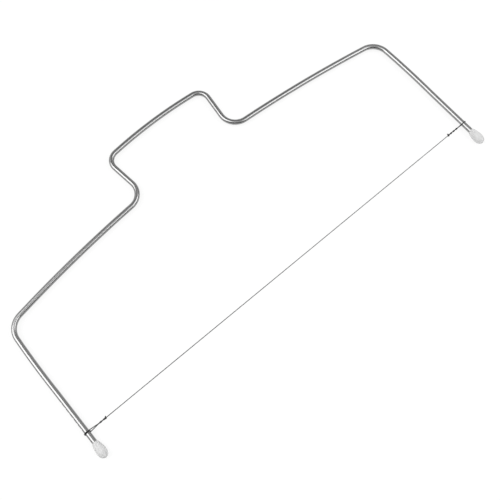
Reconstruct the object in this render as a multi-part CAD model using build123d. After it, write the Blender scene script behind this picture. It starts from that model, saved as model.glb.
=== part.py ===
"""A small cake leveler: one bent steel rod, two soft feet and a taut cutting wire between the legs.

It lies flat, as it does on a table. X runs across the frame from leg to leg, Y runs from the feet to
the handle, and Z is up. The origin is below the middle of the frame, on the surface that it lies on.
"""
import os
from math import asin, cos, sin, sqrt

from build123d import *

# Overall size of the frame
overall_height = 155.7  # from the soles of the feet to the top of the grip
leg_spacing = 310.4  # between the axes of the two legs, where they run parallel

# The rod and its bends: each corner is where two straight runs of its centreline meet
rod_diameter = 3.5
shoulder_spacing = 307.8  # between the two outer corners
throat_spacing = 72.6  # between the two inner corners, at the foot of the handle
grip_length = 81.0  # between the two corners of the handle
handle_height = 40.0  # from the inner corners to the top of the grip
rail_rise = 14.6  # from an outer corner up to an inner one
shoulder_bend_radius = 12.2
throat_bend_radius = 11.2
grip_bend_radius = 7.8

# How far each run bows outwards from a straight line
leg_bow = 0.55
rail_bow = 1.9
grip_bow = 2.6
knee_bend_radius = 150.0  # where a leg starts to bow, above its notches

# The notches on the outer side of each leg
first_notch_height = 18.2
notch_pitch = 4.0
notch_count = 7
notch_depth = 0.35
notch_radius = 0.9
knee_above_notches = 6.4

# The feet
foot_length = 11.0
foot_bulb_diameter = 6.5
foot_mouth_wall = 0.35
foot_sole_diameter = 2.0
foot_bore_depth = 8.0
foot_lip_radius = 0.1

# The cutting wire
wire_diameter = 0.55
loop_throat = 4.2  # from a leg's axis to where the two strands of its loop meet
twist_length = 9.7
twist_strands = 2
knot_turns = 2  # of the cut end, wrapped tight round the wire at the inner end of the twist

# Clearances
foot_on_rod_clearance = 0.05
wire_round_leg_clearance = 0.2
overrun = 1.0

# Worked out from the sizes above: heights are above the soles of the feet
rod_radius = rod_diameter / 2
wire_radius = wire_diameter / 2
foot_bulb_radius = foot_bulb_diameter / 2
rod_axis_z = foot_bulb_radius
sole_y = -overall_height / 2
leg_x = leg_spacing / 2
notch_stretch = (notch_count - 1) * notch_pitch
knee_height = first_notch_height + notch_stretch + knee_above_notches
throat_height = overall_height - handle_height
shoulder_height = throat_height - rail_rise
grip_corner_height = overall_height - rod_radius - grip_bow
rod_end_height = foot_length - foot_bore_depth + foot_on_rod_clearance
wire_y = sole_y + first_notch_height


def in_plane(x, height):
    """A point of the rod's centreline, from its place across the frame and its height above the soles."""
    return (x, sole_y + height)


def rod_path():
    """The rod's centreline from the left foot to the right one, with its bends rounded."""
    left_half = [
        in_plane(-leg_x, rod_end_height),
        in_plane(-leg_x, knee_height),
        in_plane(-shoulder_spacing / 2, shoulder_height),
        in_plane(-throat_spacing / 2, throat_height),
        in_plane(-grip_length / 2, grip_corner_height),
    ]
    right_half = [(-x, y) for x, y in reversed(left_half)]
    corners = left_half + right_half
    left_bows = [0, leg_bow, rail_bow, 0]
    bows = left_bows + [grip_bow] + left_bows[::-1]
    left_radii = [knee_bend_radius, shoulder_bend_radius, throat_bend_radius, grip_bend_radius]
    radii = left_radii + left_radii[::-1]
    runs = []
    for start, end, bow in zip(corners, corners[1:], bows):
        runs.append(SagittaArc(start, end, bow) if bow else Line(start, end))
    path = Wire(runs)
    for corner, radius in zip(corners[1:-1], radii):
        nearest = path.vertices().sort_by_distance(corner)[0]
        path = path.fillet_2d(radius, [nearest])
    return Pos(0, 0, rod_axis_z) * path


def make_frame_rod():
    """The whole frame: one round rod, with a row of shallow notches on the outer side of each leg."""
    path = rod_path()
    section = Plane(origin=path @ 0, z_dir=path % 0) * Circle(rod_radius)
    rod = sweep(section, path=path)
    cutter_x = leg_x + rod_radius - notch_depth + notch_radius
    cutter = Cylinder(notch_radius, rod_diameter + overrun)
    for step in range(notch_count):
        notch_y = wire_y + step * notch_pitch
        for side in (-1, 1):
            rod -= Pos(side * cutter_x, notch_y, rod_axis_z) * cutter
    return rod


def make_foot(side):
    """A soft cap on a leg's end: a tear shape, with a flat sole and a blind bore for the rod."""
    mouth_radius = rod_radius + foot_mouth_wall
    sole_radius = foot_sole_diameter / 2
    bulb_height = sqrt(foot_bulb_radius**2 - sole_radius**2)
    # The cone from the mouth touches the bulb's circle at this point
    reach = sqrt(mouth_radius**2 + (foot_length - bulb_height) ** 2)
    lean = asin(mouth_radius / reach)
    touch = asin(foot_bulb_radius / reach) - lean
    touch_point = (foot_bulb_radius * cos(touch), bulb_height + foot_bulb_radius * sin(touch))
    profile = [
        Line((0, 0), (sole_radius, 0)),
        ThreePointArc((sole_radius, 0), (foot_bulb_radius, bulb_height), touch_point),
        Line(touch_point, (mouth_radius, foot_length)),
        Line((mouth_radius, foot_length), (0, foot_length)),
        Line((0, foot_length), (0, 0)),
    ]
    cap = revolve(make_face(profile), Axis.Y)
    bore = Cylinder(
        rod_radius + foot_on_rod_clearance,
        foot_bore_depth + overrun,
        align=(Align.CENTER, Align.CENTER, Align.MIN),
    )
    bore_bottom = foot_length - foot_bore_depth
    cap -= Pos(0, bore_bottom, 0) * Rot(-90, 0, 0) * bore
    lip = cap.edges().filter_by(GeomType.CIRCLE).sort_by(Axis.Y)[-2:]
    cap = fillet(lip, foot_lip_radius)
    return Pos(side * leg_x, sole_y, rod_axis_z) * cap


def make_wire_end():
    """The right end of the cutting wire: a loop round the leg, then the twist back to the single wire."""
    ring_radius = rod_radius + wire_round_leg_clearance + wire_radius
    # Each strand leaves the ring on a line that touches it, and the two meet in the twist
    spread = asin(ring_radius / loop_throat)
    meet = (leg_x - loop_throat, 0)
    upper = (leg_x - ring_radius * sin(spread), ring_radius * cos(spread))
    lower = (upper[0], -upper[1])
    runs = [
        Line(meet, upper),
        ThreePointArc(upper, (leg_x + ring_radius, 0), lower),
        Line(lower, meet),
    ]
    twist_start_x = leg_x - loop_throat
    twist_end_x = twist_start_x - twist_length
    knot_radius = wire_radius + wire_diameter
    end = along_wire(wire_radius * twist_strands, twist_end_x, twist_start_x)
    end += along_wire(knot_radius, twist_end_x, twist_end_x + knot_turns * wire_diameter)
    for run in runs:
        run = Pos(0, wire_y, rod_axis_z) * Rot(90, 0, 0) * run
        section = Plane(origin=run @ 0, z_dir=run % 0) * Circle(wire_radius)
        end += sweep(section, path=run)
    return end


def along_wire(radius, start_x, end_x):
    """A round bar that lies along the cutting wire's own line, from one X to another."""
    bar = Cylinder(radius, end_x - start_x, align=(Align.CENTER, Align.CENTER, Align.MIN))
    return Pos(start_x, wire_y, rod_axis_z) * Rot(0, 90, 0) * bar


def make_cutting_wire():
    """The whole cutting wire: a straight taut stretch and the two looped and twisted ends."""
    twist_end_x = leg_x - loop_throat - twist_length
    right_end = make_wire_end()
    left_end = right_end.mirror(Plane.YZ)
    straight = along_wire(wire_radius, -twist_end_x - overrun, twist_end_x + overrun)
    return straight + right_end + left_end


def main():
    os.makedirs("parts", exist_ok=True)
    nodes = {
        "frame_rod": make_frame_rod(),
        "cutting_wire": make_cutting_wire(),
        "left_foot": make_foot(-1),
        "right_foot": make_foot(1),
    }
    for name, solid in nodes.items():
        export_step(solid, f"parts/{name}.step")
    print("the cutting wire moves up the legs by", notch_stretch, "mm")


main()
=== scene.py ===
"""The looks of a small wire cake leveler that lies flat on a pale studio floor.

Four pieces are modelled here, each in place of the plain solid of the same form: the bent steel rod,
the cutting wire with its looped and twisted ends, and the two soft feet. Lengths are in metres.
"""
import cmath
import math

import bmesh
import bpy
from mathutils import Matrix, Quaternion, Vector


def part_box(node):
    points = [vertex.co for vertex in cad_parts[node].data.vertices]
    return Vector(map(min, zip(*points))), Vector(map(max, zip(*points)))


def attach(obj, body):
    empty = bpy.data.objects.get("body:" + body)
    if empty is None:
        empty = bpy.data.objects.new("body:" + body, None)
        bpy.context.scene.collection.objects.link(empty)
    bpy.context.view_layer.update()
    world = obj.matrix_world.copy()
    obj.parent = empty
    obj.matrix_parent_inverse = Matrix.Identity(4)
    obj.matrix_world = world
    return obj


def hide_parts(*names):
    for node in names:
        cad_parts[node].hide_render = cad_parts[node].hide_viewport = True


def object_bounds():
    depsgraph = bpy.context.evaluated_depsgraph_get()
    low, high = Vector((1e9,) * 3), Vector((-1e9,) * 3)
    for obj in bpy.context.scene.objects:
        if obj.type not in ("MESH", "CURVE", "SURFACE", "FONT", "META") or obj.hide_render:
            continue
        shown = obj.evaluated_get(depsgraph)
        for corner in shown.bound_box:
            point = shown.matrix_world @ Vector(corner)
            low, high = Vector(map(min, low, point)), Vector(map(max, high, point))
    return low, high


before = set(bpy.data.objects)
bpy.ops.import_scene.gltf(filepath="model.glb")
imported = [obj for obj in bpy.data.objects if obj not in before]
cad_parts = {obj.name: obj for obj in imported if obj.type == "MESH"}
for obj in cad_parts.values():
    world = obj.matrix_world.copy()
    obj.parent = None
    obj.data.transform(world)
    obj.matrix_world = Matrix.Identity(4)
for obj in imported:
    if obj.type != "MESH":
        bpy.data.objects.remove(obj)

MM = 0.001
cad_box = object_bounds()

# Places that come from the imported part
foot_low, foot_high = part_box("right_foot")
wire_low, wire_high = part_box("cutting_wire")
SOLE_Y = foot_low.y
LEG_X = (foot_low.x + foot_high.x) / 2
AXIS_Z = (foot_low.z + foot_high.z) / 2
WIRE_Y = (wire_low.y + wire_high.y) / 2
HAIR = 0.001 * MM  # keeps the finer surfaces inside the solids' box

# The rod: its corners are where two straight runs of the centreline meet
ROD_RADIUS = 1.75 * MM
HEIGHT = cad_box[1].y - SOLE_Y - HAIR
ROD_END_HEIGHT = 3.05 * MM
KNEE_HEIGHT = 48.6 * MM
SHOULDER_X = 153.9 * MM
SHOULDER_HEIGHT = 101.1 * MM
THROAT_X = 36.3 * MM
THROAT_HEIGHT = 115.7 * MM
GRIP_X = 40.5 * MM
LEG_BOW = 0.55 * MM
RAIL_BOW = 1.9 * MM
GRIP_BOW = 2.6 * MM
KNEE_BEND = 150.0 * MM
SHOULDER_BEND = 12.2 * MM
THROAT_BEND = 11.2 * MM
GRIP_BEND = 7.8 * MM
STRAIGHT = 100.0  # the radius of a run that is straight to three thousandths of a millimetre
KNEE_MARGIN = 6.0 * MM  # below the knee, where a leg starts to bow
FINE_STEP, BEND_STEP, COARSE_STEP = 0.2 * MM, 0.5 * MM, 2.0 * MM  # along notches, bends and bows
PLAIN_LEG_THINNING = 10  # one fine step in so many is kept where a leg has no notches
ROD_SIDES = 40

# The notches pressed into the outer side of each leg
NOTCH_PITCH = 4.0 * MM
NOTCH_COUNT = 7
NOTCH_DEPTH = 0.35 * MM
NOTCH_RADIUS = 0.9 * MM

# The cutting wire
WIRE_RADIUS = 0.275 * MM
LOOP_CLEARANCE = 0.03 * MM
LOOP_RADIUS = ROD_RADIUS + LOOP_CLEARANCE + WIRE_RADIUS
# Each side has its own values: -1 is the left end and 1 the right one
LOOP_THROATS = {-1: 8.0 * MM, 1: 4.2 * MM}  # from the leg's axis to where a loop's strands meet
LOOP_SKEWS = {-1: 0.42 * MM, 1: -0.25 * MM}  # how far the upper strand lies towards the handle
LOOP_EXTRA_TURNS = {-1: 1, 1: 0}  # full turns round the leg besides the loop itself
TWIST_END = 13.9 * MM  # from the leg's axis to the inner end of the twist
TWIST_PITCH = 5.0 * MM
TWIST_EASE = 1.2 * MM  # over which a strand comes off the taut wire's line onto the twist
TWIST_START = 0.8 * MM  # from a loop's throat to where its strands start to wind
KNOT_TURNS = 2
TAILS = {-1: 0.7 * MM, 1: 1.1 * MM}
TAIL_WAY = (0.25, 1.0, 0.35)  # how a tail leans: to its own leg, to the handle and up
TWIST_STEPS, LOOP_STEPS, COIL_STEPS, TAIL_STEPS, TAUT_STEPS = 110, 120, 28, 4, 60
EASING_PASSES = 6
SHADE_FADE = 0.5 * MM  # over which the taut stretch takes on the painted shade of the bent ends
WIRE_SIDES = 14

# The feet
FOOT_LENGTH = 11.0 * MM
BELLY_RADIUS = (foot_high.z - foot_low.z) / 2 - HAIR
BELLY_HEIGHT = 4.2 * MM
MOUTH_WALL = 0.25 * MM
RIM_ROUNDING = 0.07 * MM
RIM_ANGLE = 20  # degrees between two surfaces, above which their edge is rounded
SOLE_RADIUS = 1.0 * MM
BORE_DEPTH = 8.0 * MM
BORE_CLEARANCE = 0.05 * MM
BORE_RADIUS = ROD_RADIUS + BORE_CLEARANCE
OUTLINE_STEPS = 20
FOOT_SIDES = 64

# The room, with radiance 1 as white
FLOOR_RADIUS = 6.0
FLOOR_GLOW = 0.85  # the share of plain white in the floor near the object, seen or mirrored
FLOOR_FADE = (0.6, 3.0)  # how far from the object the seen floor turns to plain white
SOFTBOX_DISTANCE = 1.3
ROOM_SLOPE = (0.06, 0.38, 0.99)  # how the walls and the ceiling brighten towards +X, +Y and +Z
ROOM_LEAST = 0.05
PATCH_PLACE = (22.0, 59.0)  # azimuth and elevation of the ceiling's dark patch, in degrees
PATCH_RADIUS = 17.5
PATCH_EDGE = 8.0
PATCH_DEPTH = 0.98
HORIZON_BAND = (0.0, 3.0)  # between these degrees of elevation the walls leave plain white


def linear(hex_colour):
    """An sRGB hex colour as the linear values that a shader takes, with an alpha of 1."""
    channels = [int(hex_colour[k:k + 2], 16) / 255 for k in (1, 3, 5)]
    return [c / 12.92 if c <= 0.04045 else ((c + 0.055) / 1.055) ** 2.4 for c in channels] + [1.0]


def add_node(tree, kind, links=(), **settings):
    """Adds a node; its settings are its own properties or, by name or number, its input sockets."""
    node = tree.nodes.new(kind)
    for key, value in settings.items():
        if hasattr(node, key):
            setattr(node, key, value)
        else:
            node.inputs[key.replace("_", " ")].default_value = value
    for socket, source in links:
        tree.links.new(source, node.inputs[socket])
    return node


def new_material(name):
    """An empty material with its output node, and its tree."""
    material = bpy.data.materials.new(name)
    material.use_nodes = True
    material.node_tree.nodes.clear()
    return material, material.node_tree


def finish_piece(bm, name, material, body, node):
    """Turns a bmesh into a smooth piece of the object, in place of its CAD node."""
    bmesh.ops.recalc_face_normals(bm, faces=bm.faces)
    mesh = bpy.data.meshes.new(name)
    bm.to_mesh(mesh)
    bm.free()
    mesh.shade_smooth()
    mesh.materials.append(material)
    piece = bpy.data.objects.new(name, mesh)
    bpy.context.scene.collection.objects.link(piece)
    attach(piece, body)
    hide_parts(node)


# The rod's centreline, on the plane of the frame, with complex numbers as its points


def bowed_run(start, end, bow):
    """The centre and radius of the circle through two points that bulges by bow to the left."""
    half = abs(end - start) / 2
    radius = (half**2 + bow**2) / (2 * bow) if bow else STRAIGHT
    drop = math.sqrt(radius**2 - half**2)
    left = 1j * (end - start) / abs(end - start)
    return (start + end) / 2 - left * drop, radius


def crossing(first, second, near):
    """Where two circles cross, on the side of the point given."""
    (centre_a, radius_a), (centre_b, radius_b) = first, second
    apart = abs(centre_b - centre_a)
    along = (apart**2 + radius_a**2 - radius_b**2) / (2 * apart)
    across = math.sqrt(radius_a**2 - along**2)
    way = (centre_b - centre_a) / apart
    both = [centre_a + way * complex(along, side * across) for side in (1, -1)]
    return min(both, key=lambda point: abs(point - near))


def arc(centre, start, end, step):
    """Points on the arc from start to end, without start, about a step apart."""
    turn = cmath.phase((end - centre) / (start - centre))
    count = max(1, math.ceil(abs(turn) * abs(start - centre) / step))
    spoke = start - centre
    return [centre + spoke * cmath.exp(1j * turn * k / count) for k in range(1, count + 1)]


def on_plain_leg(point):
    """True on the straight part of a leg, away from its row of notches."""
    above_first = point.imag + SOLE_Y - WIRE_Y
    beside_row = -NOTCH_RADIUS < above_first < (NOTCH_COUNT - 1) * NOTCH_PITCH + NOTCH_RADIUS
    return point.imag < KNEE_HEIGHT - KNEE_MARGIN and not beside_row


def rod_centreline():
    """The whole centreline from the left foot to the right one, with its bows and bends."""
    left = [
        complex(-LEG_X, ROD_END_HEIGHT),
        complex(-LEG_X, KNEE_HEIGHT),
        complex(-SHOULDER_X, SHOULDER_HEIGHT),
        complex(-THROAT_X, THROAT_HEIGHT),
        complex(-GRIP_X, HEIGHT - ROD_RADIUS - GRIP_BOW),
    ]
    corners = left + [-p.conjugate() for p in reversed(left)]
    left_bows = [0, LEG_BOW, RAIL_BOW, 0]
    bows = left_bows + [GRIP_BOW] + left_bows[::-1]
    left_bends = [KNEE_BEND, SHOULDER_BEND, THROAT_BEND, GRIP_BEND]
    bends = left_bends + left_bends[::-1]
    steps = [FINE_STEP] + [COARSE_STEP] * (len(bows) - 2) + [FINE_STEP]
    runs = [bowed_run(a, b, bow) for a, b, bow in zip(corners, corners[1:], bows)]
    points = [corners[0]]
    for corner, bend, before, after, step in zip(corners[1:], bends, runs, runs[1:], steps):
        # A bend lies on the left of both its runs where the way turns left, or else on the right
        way_in, way_out = (-1j * (corner - centre) for centre, _ in (before, after))
        side = math.copysign(bend, (way_in.conjugate() * way_out).imag)
        middle = crossing((before[0], before[1] + side), (after[0], after[1] + side), corner)
        starts, ends = (
            centre + (middle - centre) / abs(middle - centre) * radius
            for centre, radius in (before, after)
        )
        points += arc(before[0], points[-1], starts, step)
        points += arc(middle, starts, ends, BEND_STEP)
    points += arc(runs[-1][0], points[-1], corners[-1], steps[-1])
    last = len(points) - 1
    points = [
        point
        for k, point in enumerate(points)
        if k in (0, last) or k % PLAIN_LEG_THINNING == 0 or not on_plain_leg(point)
    ]
    return [Vector((p.real, SOLE_Y + p.imag, AXIS_Z)) for p in points]


def draw_bar(points, radius, sides):
    """A round bar: one circle, extruded from point to point of a line and turned with it.

    Each vertex keeps its place on the bar as if the bar were straight, for the steel's lines."""
    bm = bmesh.new()
    drawn = bm.verts.layers.float_vector.new("drawn")
    ways = [(b - a).normalized() for a, b in zip(points, points[1:])]
    ways = [ways[0]] + [(a + b).normalized() for a, b in zip(ways, ways[1:])] + [ways[-1]]
    turned = ways[0].to_track_quat("Z", "X")
    place = Matrix.Translation(points[0]) @ turned.to_matrix().to_4x4()
    ring = bmesh.ops.create_circle(bm, cap_ends=False, segments=sides, radius=radius, matrix=place)["verts"]
    unplace = place.inverted()
    for vert in ring:
        vert[drawn] = unplace @ vert.co
    edges = list(bm.edges)
    ends = [list(edges)]
    length = 0.0
    for here, there, way, next_way in zip(points, points[1:], ways, ways[1:]):
        length += (there - here).length
        grown = bmesh.ops.extrude_edge_only(bm, edges=edges)["geom"]
        ring = [g for g in grown if isinstance(g, bmesh.types.BMVert)]
        sides_and_rim = [g for g in grown if isinstance(g, bmesh.types.BMEdge)]
        edges = [edge for edge in sides_and_rim if all(vert in ring for vert in edge.verts)]
        bend = way.rotation_difference(next_way).to_matrix()
        bmesh.ops.rotate(bm, verts=ring, cent=here, matrix=bend)
        bmesh.ops.translate(bm, verts=ring, vec=there - here)
        for vert in ring:
            vert[drawn] = (vert[drawn].x, vert[drawn].y, length)
    ends.append(edges)
    for end in ends:
        bmesh.ops.edgeloop_fill(bm, edges=end)
    return bm


def press_notches(bm):
    """Presses the row of notches into the outer side of each leg."""
    centre_x = LEG_X + ROD_RADIUS - NOTCH_DEPTH + NOTCH_RADIUS
    for vert in bm.verts:
        step = round((vert.co.y - WIRE_Y) / NOTCH_PITCH)
        off = vert.co.y - WIRE_Y - step * NOTCH_PITCH
        if 0 <= step < NOTCH_COUNT and abs(off) < NOTCH_RADIUS:
            floor_x = centre_x - math.sqrt(NOTCH_RADIUS**2 - off**2)
            if abs(vert.co.x) > floor_x:
                vert.co.x = math.copysign(floor_x, vert.co.x)


# Materials


def drawn_steel(name, colour, roughness, grain, painted_shade_colour=None):
    """Stainless steel drawn through a die and polished: a clear mirror with faint lines along the bar.

    The real lines are finer than a tenth of a millimetre and are drawn a little coarser here, each about
    fifty times as long as wide. With a painted shade colour, the bar's two ends are painted darker, standing
    in for the shade in the twist's crevices and where the loops lie against the rod."""
    material, tree = new_material(name)
    place = add_node(tree, "ShaderNodeAttribute", attribute_name="drawn")
    lay = add_node(
        tree,
        "ShaderNodeMapping",
        [("Vector", place.outputs["Vector"])],
        Scale=(1 / grain, 1 / grain, 0.02 / grain),
    )
    lines = add_node(
        tree, "ShaderNodeTexNoise", [("Vector", lay.outputs["Vector"])], Scale=1.0, Detail=3.0, Roughness=0.6
    )
    rough = add_node(
        tree,
        "ShaderNodeMapRange",
        [("Value", lines.outputs["Fac"])],
        From_Min=0.3,
        From_Max=0.7,
        To_Min=roughness * 0.75,
        To_Max=roughness * 1.35,
    )
    bump = add_node(
        tree, "ShaderNodeBump", [("Height", lines.outputs["Fac"])], Strength=0.25, Distance=0.004 * MM
    )
    shader = add_node(
        tree,
        "ShaderNodeBsdfPrincipled",
        [("Roughness", rough.outputs["Result"]), ("Normal", bump.outputs["Normal"])],
        Base_Color=linear(colour),
        Metallic=1.0,
    )
    # Painted shade: beyond the twist's inner end, the wire's ends get a darker base colour for the shade in
    # the twist and under the loops
    if painted_shade_colour:
        across = add_node(tree, "ShaderNodeTexCoord").outputs["Object"]
        across = add_node(tree, "ShaderNodeSeparateXYZ", [("Vector", across)]).outputs["X"]
        across = add_node(tree, "ShaderNodeMath", [(0, across)], operation="ABSOLUTE").outputs[0]
        end_from = LEG_X - TWIST_END
        bent = add_node(
            tree,
            "ShaderNodeMapRange",
            [("Value", across)],
            From_Min=end_from - SHADE_FADE,
            From_Max=end_from,
        )
        tone = add_node(tree, "ShaderNodeMix", [("Factor", bent.outputs["Result"])], data_type="RGBA")
        tone.inputs[6].default_value = linear(colour)
        tone.inputs[7].default_value = linear(painted_shade_colour)
        tree.links.new(tone.outputs[2], shader.inputs["Base Color"])
    add_node(tree, "ShaderNodeOutputMaterial", [("Surface", shader.outputs["BSDF"])])
    return material


def milky_plastic():
    """Soft unfilled polyethylene, moulded: milky, with a satin skin and light that spreads inside it."""
    material, tree = new_material("milky_polyethylene")
    place = add_node(tree, "ShaderNodeTexCoord")
    skin = add_node(
        tree, "ShaderNodeTexNoise", [("Vector", place.outputs["Object"])], Scale=1 / (0.5 * MM), Detail=3.0
    )
    rough = add_node(
        tree, "ShaderNodeMapRange", [("Value", skin.outputs["Fac"])], To_Min=0.52, To_Max=0.62
    )
    bump = add_node(
        tree, "ShaderNodeBump", [("Height", skin.outputs["Fac"])], Strength=0.3, Distance=0.002 * MM
    )
    shader = add_node(
        tree,
        "ShaderNodeBsdfPrincipled",
        [("Roughness", rough.outputs["Result"]), ("Normal", bump.outputs["Normal"])],
        Base_Color=linear("#c4c4c4"),
        IOR=1.51,
        Subsurface_Weight=0.4,
        Subsurface_Scale=1.5 * MM,
    )
    shader.inputs["Subsurface Radius"].default_value = (1.0, 1.0, 1.0)
    add_node(tree, "ShaderNodeOutputMaterial", [("Surface", shader.outputs["BSDF"])])
    return material


# The cutting wire


def wire_end_path(side):
    """One end of the wire: from the taut stretch to the leg, round it and back to the cut tail."""
    throat, skew = LOOP_THROATS[side], LOOP_SKEWS[side]
    spread = math.asin(LOOP_RADIUS / throat)
    knot = KNOT_TURNS * 2 * WIRE_RADIUS
    open_from = throat + TWIST_START

    def on_axis(inward, up, across):
        return Vector((side * (LEG_X - inward), WIRE_Y + across, AXIS_Z + up))

    def strand(inward, phase):
        # A strand eases onto the twist from the taut wire's line and winds until the loop opens
        reach = WIRE_RADIUS * min(1.0, (TWIST_END - inward) / TWIST_EASE)
        angle = phase + math.tau * max(0.0, inward - open_from) / TWIST_PITCH
        return on_axis(inward, reach * math.cos(angle), reach * math.sin(angle))

    steps = TWIST_STEPS
    inwards = [TWIST_END + (throat - TWIST_END) * k / steps for k in range(steps + 1)]
    path = [strand(inward, 0.0) for inward in inwards]
    angle_from = math.pi - (math.pi / 2 - spread)
    sweep = 2 * angle_from + math.tau * LOOP_EXTRA_TURNS[side]
    for k in range(LOOP_STEPS + 1):
        angle = angle_from - sweep * k / LOOP_STEPS
        across = skew * (1 - 2 * k / LOOP_STEPS)
        inward, up = LOOP_RADIUS * -math.cos(angle), LOOP_RADIUS * math.sin(angle)
        path.append(on_axis(inward, up, across))
    coil_start = TWIST_END - knot
    path += [strand(inward, math.pi) for inward in reversed(inwards) if inward < coil_start]
    # The cut end goes round the straight wire in tight turns and stands off as a short tail
    begin = math.pi + math.tau * (coil_start - open_from) / TWIST_PITCH
    coil = 2 * WIRE_RADIUS
    steps = COIL_STEPS * KNOT_TURNS
    for k in range(1, steps + 1):
        angle = begin + math.tau * KNOT_TURNS * k / steps
        inward = coil_start + knot * k / steps
        path.append(on_axis(inward, coil * math.cos(angle), coil * math.sin(angle)))
    last = path[-1]
    way = Vector((TAIL_WAY[0] * side, TAIL_WAY[1], TAIL_WAY[2])).normalized()
    path += [last + way * TAILS[side] * k / TAIL_STEPS for k in range(1, TAIL_STEPS + 1)]
    return path


def relaxed(points):
    """The same line with its sudden turns eased, as a springy wire eases them."""
    for _ in range(EASING_PASSES):
        middle = [(a + 2 * b + c) / 4 for a, b, c in zip(points, points[1:], points[2:])]
        points = [points[0]] + middle + [points[-1]]
    return points


def wire_path():
    """The whole wire: tail, knot, loop and twist at the left, the taut stretch, then the right end."""
    left = relaxed(wire_end_path(-1))
    right = relaxed(wire_end_path(1))
    span = right[0] - left[0]
    taut = [left[0] + span * k / TAUT_STEPS for k in range(1, TAUT_STEPS)]
    return left[::-1] + taut + right


# The feet


def foot_profile():
    """Half of a foot's outline: from the sole round the belly to the mouth and down the bore.

    It is part of an ellipse up to the belly, and above it an arc that starts upright."""
    mouth = ROD_RADIUS + MOUTH_WALL
    count = OUTLINE_STEPS
    turn = math.acos(SOLE_RADIUS / BELLY_RADIUS)
    drop = BELLY_HEIGHT / math.sin(turn)
    outline = [(0.0, 0.0)]
    for k in range(count + 1):
        angle = turn * (k / count - 1)
        outline.append((BELLY_RADIUS * math.cos(angle), BELLY_HEIGHT + drop * math.sin(angle)))
    rise = FOOT_LENGTH - BELLY_HEIGHT
    narrowing = BELLY_RADIUS - mouth
    curve = (rise**2 + narrowing**2) / (2 * narrowing)
    for k in range(1, count + 1):
        angle = math.asin(rise / curve) * k / count
        radius = BELLY_RADIUS - curve * (1 - math.cos(angle))
        outline.append((radius, BELLY_HEIGHT + curve * math.sin(angle)))
    bottom = FOOT_LENGTH - BORE_DEPTH
    return outline + [(BORE_RADIUS, FOOT_LENGTH), (BORE_RADIUS, bottom), (0.0, bottom)]


def make_foot(side, material):
    """A soft cap on a leg: its outline spun round the leg's axis, with its rims rounded."""
    bm = bmesh.new()
    outline = foot_profile()
    verts = [bm.verts.new((side * LEG_X + r, SOLE_Y + height, AXIS_Z)) for r, height in outline]
    edges = [bm.edges.new(pair) for pair in zip(verts, verts[1:])]
    axis_point = (side * LEG_X, SOLE_Y, AXIS_Z)
    bmesh.ops.spin(
        bm,
        geom=verts + edges,
        cent=axis_point,
        axis=(0, 1, 0),
        angle=math.tau,
        steps=FOOT_SIDES,
        use_merge=True,
    )
    bmesh.ops.remove_doubles(bm, verts=bm.verts, dist=0.001 * MM)
    bmesh.ops.bevel(
        bm,
        geom=[edge for edge in bm.edges if is_rim(edge)],
        offset=RIM_ROUNDING,
        offset_type="OFFSET",
        segments=3,
        profile=0.5,
        affect="EDGES",
        material=-1,
    )
    name = "foot_cap_left" if side < 0 else "foot_cap_right"
    node = "left_foot" if side < 0 else "right_foot"
    finish_piece(bm, name, material, "frame", node)


def is_rim(edge):
    """True for an edge of the sole's rim or of the mouth, where two surfaces meet at a sharp angle."""
    return len(edge.link_faces) == 2 and edge.calc_face_angle() > math.radians(RIM_ANGLE)


# The studio


def make_floor():
    """A wide white floor. It is a shade brighter than the lamps make it, and keeps the soft shadow."""
    bm = bmesh.new()
    bmesh.ops.create_circle(bm, cap_ends=True, segments=96, radius=FLOOR_RADIUS)
    mesh = bpy.data.meshes.new("floor")
    bm.to_mesh(mesh)
    bm.free()
    floor = bpy.data.objects.new("floor", mesh)
    bpy.context.scene.collection.objects.link(floor)
    material, tree = new_material("white_sweep")
    light = add_node(tree, "ShaderNodeLightPath")
    place = add_node(tree, "ShaderNodeTexCoord")
    away = add_node(tree, "ShaderNodeVectorMath", [(0, place.outputs["Object"])], operation="LENGTH")
    far = add_node(
        tree,
        "ShaderNodeMapRange",
        [("Value", away.outputs["Value"])],
        From_Min=FLOOR_FADE[0],
        From_Max=FLOOR_FADE[1],
        To_Min=FLOOR_GLOW,
    )
    seen = [(0, light.outputs["Is Camera Ray"]), (1, far.outputs["Result"])]
    seen = add_node(tree, "ShaderNodeMath", seen, operation="MULTIPLY")
    mirrored = [(0, light.outputs["Is Glossy Ray"]), (1, light.outputs["Is Transmission Ray"])]
    mirrored = add_node(tree, "ShaderNodeMath", mirrored, operation="MAXIMUM")
    mirrored = add_node(tree, "ShaderNodeMath", [(0, mirrored.outputs[0])], operation="MULTIPLY")
    mirrored.inputs[1].default_value = FLOOR_GLOW
    share = [(0, seen.outputs[0]), (1, mirrored.outputs[0])]
    share = add_node(tree, "ShaderNodeMath", share, operation="MAXIMUM")
    matt = add_node(tree, "ShaderNodeBsdfDiffuse", Color=linear("#f4f4f4"))
    glow = add_node(tree, "ShaderNodeEmission", Color=(1, 1, 1, 1), Strength=1.0)
    mixed = add_node(
        tree,
        "ShaderNodeMixShader",
        [("Fac", share.outputs[0]), (1, matt.outputs["BSDF"]), (2, glow.outputs["Emission"])],
    )
    add_node(tree, "ShaderNodeOutputMaterial", [("Surface", mixed.outputs["Shader"])])
    mesh.materials.append(material)


def toward(azimuth, elevation):
    """The direction at an azimuth, counted from +Y towards +X, and an elevation, both in degrees."""
    turn, lift = math.radians(azimuth), math.radians(elevation)
    return Vector((math.cos(lift) * math.sin(turn), math.cos(lift) * math.cos(turn), math.sin(lift)))


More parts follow.
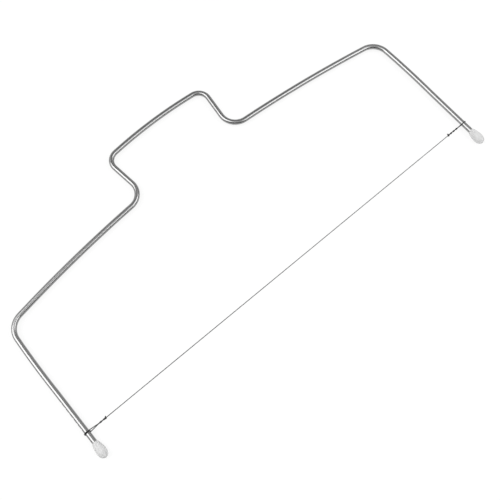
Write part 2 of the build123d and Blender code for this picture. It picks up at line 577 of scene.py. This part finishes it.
def make_softbox(name, azimuth, elevation, size, radiance):
    """A soft rectangular lamp that faces the object, as bright as given where 1 is white."""
    data = bpy.data.lights.new(name, "AREA")
    data.shape = "RECTANGLE"
    data.size, data.size_y = size
    data.energy = radiance * math.pi * size[0] * size[1]
    lamp = bpy.data.objects.new(name, data)
    lamp.location = toward(azimuth, elevation) * SOFTBOX_DISTANCE
    lamp.rotation_euler = (-lamp.location).to_track_quat("-Z", "Y").to_euler()
    bpy.context.scene.collection.objects.link(lamp)


def make_world():
    """The room: a pale ceiling with a dark patch, which gives polished steel its lines.

    Seen straight, without a mirror, it is plain white."""
    world = bpy.data.worlds.new("studio")
    bpy.context.scene.world = world
    world.use_nodes = True
    tree = world.node_tree
    tree.nodes.clear()
    way = add_node(tree, "ShaderNodeTexCoord").outputs["Generated"]
    slope = add_node(tree, "ShaderNodeVectorMath", [(0, way)], operation="DOT_PRODUCT")
    slope.inputs[1].default_value = ROOM_SLOPE
    room = add_node(tree, "ShaderNodeMath", [(0, slope.outputs["Value"])], operation="MAXIMUM")
    room.inputs[1].default_value = ROOM_LEAST
    near = add_node(tree, "ShaderNodeVectorMath", [(0, way)], operation="DOT_PRODUCT")
    near.inputs[1].default_value = toward(*PATCH_PLACE)
    patch = add_node(
        tree, "ShaderNodeMapRange", [("Value", near.outputs["Value"])], interpolation_type="SMOOTHSTEP"
    )
    patch.inputs["From Min"].default_value = math.cos(math.radians(PATCH_RADIUS + PATCH_EDGE))
    patch.inputs["From Max"].default_value = math.cos(math.radians(PATCH_RADIUS - PATCH_EDGE))
    patch.inputs["To Min"].default_value = 1.0
    patch.inputs["To Max"].default_value = 1.0 - PATCH_DEPTH
    patched = [(0, room.outputs[0]), (1, patch.outputs["Result"])]
    room = add_node(tree, "ShaderNodeMath", patched, operation="MULTIPLY")
    height = add_node(tree, "ShaderNodeSeparateXYZ", [(0, way)])
    low = add_node(
        tree, "ShaderNodeMapRange", [("Value", height.outputs["Z"])], interpolation_type="SMOOTHSTEP"
    )
    low.inputs["From Min"].default_value = math.sin(math.radians(HORIZON_BAND[0]))
    low.inputs["From Max"].default_value = math.sin(math.radians(HORIZON_BAND[1]))
    level = add_node(
        tree, "ShaderNodeMix", [("Factor", low.outputs["Result"]), ("B", room.outputs[0])], data_type="FLOAT"
    )
    level.inputs["A"].default_value = 1.0
    seen = add_node(tree, "ShaderNodeLightPath").outputs["Is Camera Ray"]
    level = add_node(tree, "ShaderNodeMath", [(0, level.outputs["Result"]), (1, seen)], operation="MAXIMUM")
    back = add_node(tree, "ShaderNodeBackground", [("Strength", level.outputs[0])])
    back.inputs["Color"].default_value = (1.0, 1.0, 1.0, 1.0)
    add_node(tree, "ShaderNodeOutputWorld", [("Surface", back.outputs["Background"])])


def make_camera():
    """The camera at the photograph's place: above the frame, in front of its feet and a little rolled."""
    eye = Vector((-109.6, -166.5, 492.2)) * MM
    aim = Vector((-9.13, -35.29, 3.25)) * MM
    roll = math.radians(-3.01)
    data = bpy.data.cameras.new("camera")
    data.sensor_width = 36.0
    data.lens = 58.89
    data.clip_start, data.clip_end = 0.01, 50.0
    camera = bpy.data.objects.new("camera", data)
    camera.rotation_mode = "QUATERNION"
    camera.location = eye
    camera.rotation_quaternion = (aim - eye).to_track_quat("-Z", "Y") @ Quaternion((0, 0, 1), roll)
    bpy.context.scene.collection.objects.link(camera)
    bpy.context.scene.camera = camera


make_camera()
make_floor()
make_world()
make_softbox("key_softbox", azimuth=300, elevation=51, size=(0.91, 1.37), radiance=3.0)
make_softbox("front_softbox", azimuth=137, elevation=45, size=(1.24, 0.79), radiance=3.1)

rod_steel = drawn_steel("polished_stainless_rod", "#969696", 0.24, 0.12 * MM)
# The wire's twisted and looped ends take a painted shade colour
wire_steel = drawn_steel("drawn_stainless_wire", "#6a6a6a", 0.25, 0.06 * MM, painted_shade_colour="#424242")
plastic = milky_plastic()

rod = draw_bar(rod_centreline(), ROD_RADIUS, ROD_SIDES)
press_notches(rod)
finish_piece(rod, "bent_rod", rod_steel, "frame", "frame_rod")
wire = draw_bar(wire_path(), WIRE_RADIUS, WIRE_SIDES)
finish_piece(wire, "looped_wire", wire_steel, "wire", "cutting_wire")
for side in (-1, 1):
    make_foot(side, plastic)

bpy.context.scene.view_settings.view_transform = "Standard"
